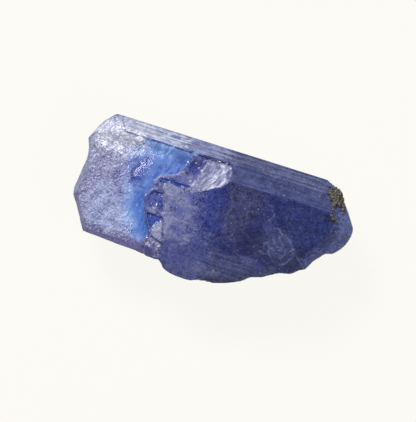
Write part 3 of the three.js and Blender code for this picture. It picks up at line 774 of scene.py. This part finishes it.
def plate_zones(at):
    """The upper plate with its gentle bevels, and the dark end's tip."""
    far_line = at.plan[:, 1] * 0.2 + at.y * 0.8
    far = ramp(far_line, TOP_FAR - 0.06, TOP_FAR + 0.06) * ramp(at.tilt, 0.1, 0.3)
    near = ramp(-at.plan[:, 1], 3.3, 4.7) * ramp(at.rise, 0.75, 0.85)
    near = near * ramp(at.x, -5.0, -4.6)
    plate = at.upward * ramp(-at.drop, -0.35, -0.2)
    gap = within(at.torn, HAZE_GAPS, 1.4)
    return {
        "smoke": inside(at.plan, SMOKE_AREA, 2.4) * at.upward,
        "deep": inside(at.plan, DEEP_AREA, 1.8) * at.upward,
        "dark": inside(at.plan, DARK_AREA, 2.0) * at.upward,
        "wisp": inside(at.plan, WISP_AREA, 2.2) * at.upward,
        "near": near,
        "near_pale": near * (1 - ramp(at.x, -0.5, 2.5)),
        "far": far * ramp(at.x, -2.0, 0.4),
        "veiled": inside(at.plan, VEILED_AREA, 2.6) * at.upward * ramp(-at.drop, -1.6, -1.2),
        "haze": inside(at.torn, HAZE_AREA, 2.2) * (1 - 0.6 * gap) * plate,
        "gap": 0.55 * gap * plate,
        "foot": inside(at.plan, FOOT_AREA, 1.4),
        "tip": inside(at.plan, TIP_AREA, 1.8) * ramp(at.z, 5.6, 7.0),
    }


def bevel_zones(at):
    """The steep far bevel and the wall below it, which get paler in two steps towards the etched end."""
    return {
        "steep": at.steep,
        "steep_mid": at.steep * (1 - ramp(at.side, -1.6, 1.2)) * ramp(at.side, -6.0, -4.4),
        "steep_pale": at.steep * (1 - ramp(at.side, -5.6, -4.4)),
        "patch": inside(at.fine, GLASS_PATCH, 0.2) * at.steep,
    }


def etched_zones(at):
    """The etched end: its frosted parts and its azure floor."""
    floor = np.maximum(ramp(at.drop, *AZURE_DROP), at.bevel_foot) * ramp(at.z, 7.2, 7.8)
    floor = floor * at.upward * ramp(-at.x, 3.3, 3.6) * (1 - at.steep)
    return {
        "azure": floor * ramp(at.y, -5.6, -5.2),
        "azure_mid": inside(at.torn, AZURE_MID, 1.4) * floor,
        "azure_deep": inside(at.plan, AZURE_DEEP, 1.2) * floor,
        "brushed": inside(at.rough, BRUSHED_AREA, 1.8) * floor,
        "pale": at.pale * ramp(at.z, 3.5, 6.5) * (1 - at.steep * ramp(at.side, -14.6, -11.0)),
        "mauve": inside(at.plan, MAUVE_AREA, 2.4) * at.top,
        "silver": inside(at.plan, SILVER_AREA, 1.8) * at.top,
        "frost": inside(at.plan, FROST_AREA, 1.8) * at.top,
        "violet": 0.8 * inside(at.rough, VIOLET_AREA, 1.1) * at.top,
    }


def ledge_zones(at):
    """The broken ground between the etched floor and the upper plate, with its small steep steps."""
    # scarp: the steep step walls and the floor at their foot, which get painted shade.
    scarp = at.ledge * (1 - ramp(at.rise, 0.75, 0.97)) * (1 - ramp(at.y, 5.5, 5.7))
    scarp_foot = 1 - ramp(distance_to(at.mm, scarp > 0.5), 0.18, 0.32)
    return {
        "ledge": at.ledge,
        "facet": inside(at.rough, FACET_AREA, 0.2) * at.ledge,
        "terrace": within(at.rough, TERRACES, 0.2) * at.ledge,
        "window": within(at.rough, WINDOWS, 0.2) * at.ledge,
        "recess": inside(at.fine, RECESS_AREA, 0.25) * ramp(at.drop, 0.2, 0.4),
        "scarp": np.maximum(scarp, scarp_foot * ramp(at.drop, *AZURE_DROP)),
        "rubble": inside(at.fine, RUBBLE_AREA, 0.4) * at.top,
        "flake": inside(at.fine, FLAKE_AREA, 0.3) * ramp(-at.drop, -0.75, -0.6),
    }


def wall_zones(at):
    """The broken walls, the line where the top meets them, painted shade along the near rim, and painted
    light on faces turned to the near side.
    """
    inner = 1 - ramp(at.rise, 0.35, 0.75)
    wall = inner * (1 - at.steep) * (1 - at.ledge) * (1 - at.bevel_foot)
    frosted_slope = ramp(at.rise, 0.3, 0.4) * ramp(-at.x, 12, 13)
    facing_near = ramp(-at.tilt, 0.4, 0.6) * ramp(-at.y, 3.0, 4.0) * (1 - at.ledge)
    height = at.z + 0.5 * (at.side - at.x)
    border = distance_to(at.mm, (at.rise < 0.35) & (at.z < OUTER_WALL_TOP))
    near_side = ramp(-at.y, 1.0, 2.0) * at.top
    return {
        "wall": wall * ramp(at.x, -15.5, -12) * (1 - frosted_slope),
        "band": inside(at.plan, BAND_AREA, 0.9) * ramp(at.z, 6.0, 7.0),
        # Painted light: faces turned to the near side get a lighter colour, since the key light misses them.
        "near_face_painted_light": facing_near * ramp(-at.side, 4.8, 6.0) * ramp(height, 4.0, 6.5),
        # Painted shade: the top darkens along its near rim.
        "rim": (1 - ramp(border, 0.12, 1.0)) * near_side * ramp(at.x, 0.0, 2.0),
        "edge": (1 - ramp(border, 0.1, 0.3)) * at.top * ramp(-at.x, 4.6, 5.4),
    }


def chip_zones(at):
    """The chip, and where its ripples carry painted highlights."""
    chip = inside(at.rough, CHIP_AREA, 0.3) * ramp(-at.drop, -1.15, -1.0) * (1 - at.steep)
    chip = chip * (1 - ramp(at.y, 5.95, 6.1))
    return {"chip": chip, "chip_painted_highlight": chip * inside(at.fine, CHIP_PAINTED_HIGHLIGHT, 0.5)}


def mark_zones(at, zone):
    """Cracks and painted shade lines, painted glints and sparkles, pits and dust."""
    everywhere = 0.45 * at.upward * ramp(at.x, -5, -4)
    dusty = np.max([0.9 * zone["haze"], 0.7 * zone["veiled"], 0.7 * zone["wisp"], everywhere], axis=0)
    return {
        "trace": along(at.fine, TRACES, 0.02, 0.12) * at.upward * (0.5 + 0.5 * ramp(at.x, 5, 7)),
        "break": along(at.fine, BREAKS, 0.04, 0.16) * ramp(at.drop, -0.1, 0.0),
        # seam_and_shade_line: dark cracks, and painted shade along the steep bevel's foot. relief() also
        # grooves them.
        "seam_and_shade_line": along(at.fine, SEAMS_AND_SHADE_LINES, 0.05, 0.14) * at.upward,
        # painted_glint: painted highlights, small white spots on the top.
        "painted_glint": spots(at.mm, PAINTED_GLINTS) * at.top,
        "pitted": spots(at.fine, PITS) * at.top,
        # painted_sparkle: where painted white sparkles lie on the etched end, most on its far half.
        "painted_sparkle": at.pale * (0.1 + 0.9 * ramp(at.y, 0.5, 3.0)) * at.top,
        "dusty": dusty * (1 - zone["chip"]),
    }


def zones(mm, normals):
    """How much each point of the skin belongs to each kind of surface."""
    at = surface_at(mm, normals)
    zone = {}
    for part in (plate_zones, bevel_zones, etched_zones, ledge_zones, wall_zones, chip_zones):
        zone.update(part(at))
    zone.update(mark_zones(at, zone))
    return zone


def etching(mm):
    """Crumbs and crossing lines on the etched end, the crumbs mostly on its far half."""
    upper = ramp(mm[:, 1], 1.2, 2.8)
    crumbs = CRUMB_HEIGHT * facets_at(mm, 0.6, 3) + CRUMB_HEIGHT * facets_at(mm, 0.35, 5)
    across = noise_at(turned(mm, 52), (0.9, 0.25, 0.6), 3) + noise_at(turned(mm, -12), (1.1, 0.25, 0.6), 8)
    return (0.1 + 0.9 * upper) * crumbs + ETCH_HEIGHT * across


def ripples(mm):
    """The chip's ripples: arcs round its focus, strands along it, and small facets."""
    reach = np.linalg.norm(wander(mm[:, :2], 0.9, 0.5) - np.array(CHIP_FOCUS), axis=1)
    strands = noise_at(turned(mm, 56), (1.6, 0.3, 0.6), 6)
    ripple = ARC_HEIGHT * np.sin(15 * reach) + STRAND_HEIGHT * strands
    ripple = ripple + CHIP_FACET_HEIGHT * facets_at(mm, 0.6, 2)
    return ripple * (1 - ramp(mm[:, 1], 5.6, 6.0))


def breakage(mm, normals):
    """Hackly facets on the broken walls, which lean in under their rim except at the far side."""
    down = distance_to(mm, normals[:, 2] > 0.6)
    large, small = WALL_FACET_HEIGHTS
    torn = large * facets_at(mm, 1.7, 5) + small * facets_at(mm, 0.6, 6)
    undercut = UNDERCUT * np.minimum(down, UNDERCUT_DEPTH) * ramp(-mm[:, 1], -3.5, -2.5)
    return torn * ramp(down, 0.4, 2.4) - undercut


def relief(mm, normals, zone):
    """How far each point of the skin moves along its normal, in millimetres: not at all on the rest face."""
    y, z = mm[:, 1], mm[:, 2]
    lined, domed = GROWTH_HEIGHTS
    grown = lined * noise_at(mm, (6, 0.5, 2), 1) + domed * noise_at(mm, 1.4, 2)
    long, short = STRIA_HEIGHTS
    striae = long * noise_at(mm, (9, 0.4, 0.5), 4) + short * noise_at(mm, (5, 0.45, 0.5), 5)
    hackly = np.maximum(zone["ledge"] * (1 - 0.7 * zone["recess"]), zone["rubble"])
    move = grown
    move = move + striae * np.maximum(zone["steep"], 0.6 * zone["far"]) * (1 - zone["pale"])
    move = move + etching(mm) * zone["pale"] * ramp(normals[:, 2], 0.1, 0.5)
    move = move + breakage(mm, normals) * (zone["wall"] * (1 - ramp(y, 6.4, 7.2)))
    move = move + LEDGE_FACET_HEIGHT * facets_at(mm, 0.8, 9) * hackly
    move = move + ripples(mm) * zone["chip"]
    move = move - SEAM_DEPTH * zone["seam_and_shade_line"]
    return move * ramp(z, 0.6, 1.6)


def step_fill(mm):
    """How far the floor, recess and chip rise, in millimetres, to meet the steep bevel's foot."""
    x, y, z = mm.T
    share = ramp(y, 5.2, 6.0) * (1 - ramp(y, 6.08, 6.12)) * ramp(x, -13.2, -12.6)
    share = share * (0.6 + 0.35 * ramp(-x, 9.2, 10.4) + 0.3 * ramp(x, -4.2, -3.8))
    share = share * (1 - ramp(x, -0.4, 0.2))
    return share * np.maximum(BEVEL_FOOT_TOP - z, 0) * ramp(z, 8.2, 8.4)


def crystal_skin():
    """The crystal's mesh, with the relief and each zone's weight on it."""
    piece, co, normals = remeshed("crystal_skin", "crystal", VOXEL)
    mm = co / MM + SHIFT
    zone = zones(mm, normals)
    moved = co + normals * relief(mm, normals, zone)[:, None] * MM
    moved[:, 2] += step_fill(mm) * MM
    low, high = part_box("crystal")
    moved = np.clip(moved, np.array(low), np.array(high))
    for name, values in zone.items():
        layer = piece.data.attributes.new(name, "FLOAT", "POINT")
        layer.data.foreach_set("value", np.clip(values, 0, 1).astype(np.float32))
    shaped(piece, moved, CREASE, crystal_material())
    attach(piece, "root")
    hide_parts("crystal")
    return piece


# ---- the crystal's material ----


def hatched(tree, scale):
    """Etch lines that cross at two angles."""
    one = clouds(tree, millimetres(tree, (0.35, 1.5, 1), (0, 0, 28)), scale, 4, 0.7, 0.4)
    other = clouds(tree, millimetres(tree, (0.35, 1.5, 1), (0, 0, -48)), scale, 4, 0.7, 0.4)
    return average(tree, one, other, 0.4)


def veined(tree, place):
    """A net of thin dull etch lines round bright islands."""
    lines = []
    for angle, scale in ((-40, 1.7), (25, 2.6)):
        wave = clouds(tree, millimetres(tree, (1, 1.7, 1), (0, 0, angle)), scale, 3, 0.6, 0.8)
        lines.append(maths(tree, "ABSOLUTE", maths(tree, "SUBTRACT", wave, 0.5)))
    net = maths(tree, "MULTIPLY_ADD", maths(tree, "MINIMUM", *lines), 2.6, 0.36)
    return average(tree, net, clouds(tree, place, 3.0, 3, 0.7), 0.35)


def rippled(tree, place):
    """Strands along the chip, crossed by faint arcs round its focus."""
    middle = (*(np.array(CHIP_FOCUS) - SHIFT[:2]), 0)
    flat = put(tree, "ShaderNodeMapping", {"Vector": place, "Scale": (1, 1, 0)}).outputs[0]
    away = put(tree, "ShaderNodeVectorMath", {0: flat, 1: middle}, operation="DISTANCE").outputs["Value"]
    bent = maths(tree, "ADD", away, times(tree, clouds(tree, place, 0.7, 3, 0.5), 1.2))
    wave = maths(tree, "SINE", times(tree, bent, 16.0))
    arcs = maths(tree, "MULTIPLY_ADD", wave, 0.09)
    strands = clouds(tree, millimetres(tree, (0.45, 2.2, 1), (0, 0, -56)), 1.6, 4, 0.65, 0.9)
    return average(tree, strands, average(tree, arcs, clouds(tree, place, 3.0, 4, 0.7), 0.5), 0.45)


def brushed(tree):
    """Short strokes that lie roughly across the prism."""
    strokes = clouds(tree, millimetres(tree, (2.6, 0.8, 1), (0, 0, 14)), 1.5, 3, 0.55, 0.6)
    return average(tree, strokes, clouds(tree, millimetres(tree), 1.4, 3, 0.6), 0.4)


def scratches(tree, angle, scale):
    """Thin lines, 1 along their middle, that mostly run at one angle."""
    wave = clouds(tree, millimetres(tree, (0.5, 1.6, 1), (0, 0, angle)), scale, 2, 0.5, 1.4)
    return between(tree, maths(tree, "ABSOLUTE", maths(tree, "SUBTRACT", wave, 0.5)), 0.030, 0.004)


def fibres(tree):
    """A felt of fine scratches and dust at all angles, broken here and there."""
    felt = scratches(tree, 20, 1.7)
    for angle, scale in ((75, 1.4), (-40, 2.1)):
        felt = maths(tree, "MAXIMUM", felt, scratches(tree, angle, scale))
    left = between(tree, clouds(tree, millimetres(tree), 1.3, 3, 0.7), 0.40, 0.62)
    return times(tree, felt, left)


def filaments(tree, vector, scale):
    """Thin bright lines on a dull ground, as dust and scratches lie."""
    wave = maths(tree, "SUBTRACT", clouds(tree, vector, scale, 4, 0.6, 0.8), 0.5)
    return maths(tree, "SUBTRACT", 0.62, times(tree, maths(tree, "ABSOLUTE", wave), 2.0))


def patterns(tree):
    """The patterns that mottle the crystal, each from 0 to 1."""
    place = millimetres(tree)
    grain = clouds(tree, place, 5.0, 3, 0.75)
    slanted = millimetres(tree, (1, 0.5, 1), (0, 0, 50))
    scratched = average(tree, filaments(tree, place, 1.6), filaments(tree, slanted, 2.4), 0.5)
    veil = average(tree, clouds(tree, place, 0.6, 5, 0.7, 0.5), average(tree, scratched, grain, 0.5), 0.75)
    dust = average(tree, average(tree, clouds(tree, place, 2.2, 4, 0.65, 0.8), scratched, 0.4), grain, 0.5)
    felt = average(tree, clouds(tree, place, 1.4, 4, 0.65, 0.8), average(tree, scratched, grain, 0.4), 0.7)
    lines = clouds(tree, millimetres(tree, (0.06, 1, 1)), 4.0, 3, 0.6)
    streaks = average(tree, lines, average(tree, grain, clouds(tree, place, 1.2, 4), 0.5), 0.6)
    spread = {"veil": veil, "dust": dust, "streaks": streaks, "hatch": hatched(tree, 3.2)}
    spread.update(ripple=rippled(tree, place), strokes=brushed(tree), veins=veined(tree, place), felt=felt)
    return {name: between(tree, value, 0.43, 0.57) for name, value in spread.items()}


def crystal_surface(tree):
    """Base colour, transmission and roughness, built up zone by zone."""
    pattern = patterns(tree)
    dull, bright, kind, clear, rough = NAVY
    colour = blend(tree, pattern[kind], linear(dull), linear(bright))
    clear = mix(tree, pattern[kind], clear + CLEARER, clear - CLEARER)
    for name, (dull, bright, kind, zone_clear, zone_rough) in LOOKS.items():
        mottle = pattern[kind]
        share = dissolved(tree, attribute(tree, name), mottle)
        colour = blend(tree, share, colour, blend(tree, mottle, linear(dull), linear(bright)))
        clear = mix(tree, share, clear, mix(tree, mottle, zone_clear + CLEARER, zone_clear - CLEARER))
        rough = mix(tree, share, rough, zone_rough)
    return finely_marked(tree, colour), clear, rough


def dissolved(tree, share, mottle):
    """A zone's share, with its soft edge broken up by the zone's own pattern."""
    edge = times(tree, share, maths(tree, "SUBTRACT", 1.0, share))
    push = times(tree, maths(tree, "SUBTRACT", mottle, 0.5), 3.0)
    return maths(tree, "MULTIPLY_ADD", edge, push, share, clamp=True)


def finely_marked(tree, colour):
    """The colour with dust, thin cracks, painted shade lines, bright specks, painted sparkles and glints,
    and dark pits on it.
    """
    place = millimetres(tree)
    felt = times(tree, fibres(tree), attribute(tree, "dusty"))
    colour = blend(tree, times(tree, felt, 0.7), colour, linear(FIBRE_PALE))
    broken = between(tree, clouds(tree, place, 2.5, 3), 0.4, 0.6, 0.25, 0.85)
    # seam_and_shade_line paints the cracks dark, and paints shade along the steep bevel's foot.
    for name, mark in (("trace", TRACE_PALE), ("break", BREAK_PALE), ("seam_and_shade_line", SEAM_AND_SHADE_DARK)):
        colour = blend(tree, times(tree, attribute(tree, name), broken), colour, linear(mark))
    bright = between(tree, cells(tree, place, 1.5), 0.13, 0.05)
    colour = blend(tree, times(tree, bright, broken), colour, linear(SPECK_PALE))
    etched = maths(tree, "MAXIMUM", scratches(tree, 30, 2.6), scratches(tree, -50, 2.2))
    etched = times(tree, times(tree, etched, attribute(tree, "pale")), 0.5)
    colour = blend(tree, etched, colour, linear(ETCH_DARK))
    # Painted highlights: short white sparkles on the etched end.
    sparkle_strokes = clouds(tree, millimetres(tree, (1.2, 3.2, 1), (0, 0, -48)), 1.5, 2, 0.6, 0.5)
    painted_sparkles = times(tree, between(tree, sparkle_strokes, 0.60, 0.68, 0.0, 0.8), attribute(tree, "painted_sparkle"))
    colour = blend(tree, painted_sparkles, colour, linear(PAINTED_SPARKLE_WHITE))
    colour = blend(tree, attribute(tree, "pitted"), colour, linear(SPECK_DARK))
    # Painted highlights: the white glint spots.
    return blend(tree, attribute(tree, "painted_glint"), colour, linear(PAINTED_GLINT_WHITE))


def crystal_relief(tree):
    """Fine relief: striations along the prism and grain, with hatching and pits on the etched end."""
    place = millimetres(tree)
    pits = cells(tree, place, 3.4)
    hatch = times(tree, hatched(tree, 4.4), 2.2)
    frosted = times(tree, maths(tree, "ADD", hatch, pits), attribute(tree, "pale"))
    striae = times(tree, clouds(tree, millimetres(tree, (0.03, 1, 1)), 6.0, 4, 0.7), 0.35)
    grain = times(tree, clouds(tree, place, 5.0, 4, 0.6), 0.4)
    height = maths(tree, "ADD", frosted, maths(tree, "ADD", striae, grain))
    return bumped(tree, height, *CRYSTAL_BUMP)


def crystal_material():
    """Tanzanite: a clear body that takes up red and green, under the zones' surface."""
    material, tree, shader = new_material("crystal")
    colour, clear, rough = crystal_surface(tree)
    feed(shader, {"Base Color": colour, "Transmission Weight": clear, "Roughness": rough, "IOR": IOR})
    feed(shader, {"Normal": crystal_relief(tree)})
    absorb = put(tree, "ShaderNodeVolumeAbsorption", {"Color": (*ABSORB, 1), "Density": ABSORB_DENSITY})
    tree.links.new(absorb.outputs[0], tree.nodes["Material Output"].inputs["Volume"])
    return material


# ---- the matrix's skin and the specks ----


def rock_material():
    """The grey matrix, with paler grains and a little ochre."""
    material, tree, shader = new_material("matrix")
    place = millimetres(tree)
    grain = clouds(tree, place, 3.5, 5, 0.7)
    spots = cells(tree, place, 3.2)
    colour = blend(tree, between(tree, grain, 0.38, 0.6), linear(ROCK_DARK), linear(ROCK_MID))
    colour = blend(tree, between(tree, spots, 0.30, 0.12, 0.0, 0.7), colour, linear(ROCK_PALE))
    ochre = between(tree, clouds(tree, place, 1.1, 2), 0.56, 0.66, 0.0, 0.35)
    colour = blend(tree, ochre, colour, linear(ROCK_OCHRE))
    rough = between(tree, grain, 0.3, 0.7, 0.75, 0.95)
    normal = bumped(tree, maths(tree, "ADD", grain, spots), *ROCK_BUMP)
    feed(shader, {"Base Color": colour, "Roughness": rough, "Specular IOR Level": 0.25, "Normal": normal})
    return material


def rock_piece(name, node, material):
    """A matrix patch: the CAD node's shape, roughened into grains."""
    piece, co, normals = remeshed(name, node, ROCK_VOXEL)
    mm = co / MM
    move = ROCK_DIMPLE_HEIGHT * (0.4 - dimples_at(mm, 0.35, 4)) + ROCK_GRAIN_HEIGHT * noise_at(mm, 0.25, 2)
    moved = co + MM * normals * move[:, None]
    moved[:, 2] -= ROCK_SINK
    shaped(piece, moved, ROCK_CREASE, material)
    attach(piece, "root")
    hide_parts(node)


def ochre_material():
    material, tree, shader = new_material("ochre")
    grain = clouds(tree, millimetres(tree), 5.0, 3, 0.7)
    colour = blend(tree, between(tree, grain, 0.4, 0.6), linear(OCHRE_DARK), linear(OCHRE_PALE))
    feed(shader, {"Base Color": colour, "Roughness": 0.8})
    return material


def specks(name, places, material, host):
    """Small lumpy grains, joined in one piece, half sunk in the host's surface below each place."""
    ground = host.data
    surface = BVHTree.FromPolygons([v.co for v in ground.vertices], [p.vertices for p in ground.polygons])
    made = bmesh.new()
    for x, y, radius in places:
        start = (Vector((x, y, DRAWN_TOP + SPECK_DROP)) - Vector(SHIFT)) * MM
        spot, normal, _, _ = surface.ray_cast(start, Vector((0, 0, -1)))
        grain = bmesh.ops.create_icosphere(made, subdivisions=3, radius=radius * MM)["verts"]
        for v in grain:
            lumps = noise.noise(v.co / (0.9 * radius * MM) + Vector((x, y, 0)))
            v.co = spot + v.co * (1 + SPECK_LUMPS * lumps) + SPECK_LIFT * radius * MM * normal
    mesh = bpy.data.meshes.new(name)
    made.to_mesh(mesh)
    made.free()
    piece = bpy.data.objects.new(name, mesh)
    bpy.context.scene.collection.objects.link(piece)
    mesh.materials.append(material)
    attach(piece, "root")


# ---- the scene ----

make_camera()
make_light()
make_floor()
skin = crystal_skin()
rock = rock_material()
specks("matrix_specks", ROCK_SPECKS, rock, skin)
specks("ochre_specks", OCHRE_SPECKS, ochre_material(), skin)
rock_piece("matrix_crust_skin", "matrix_crust", rock)
rock_piece("matrix_fleck_skin", "matrix_fleck", rock)
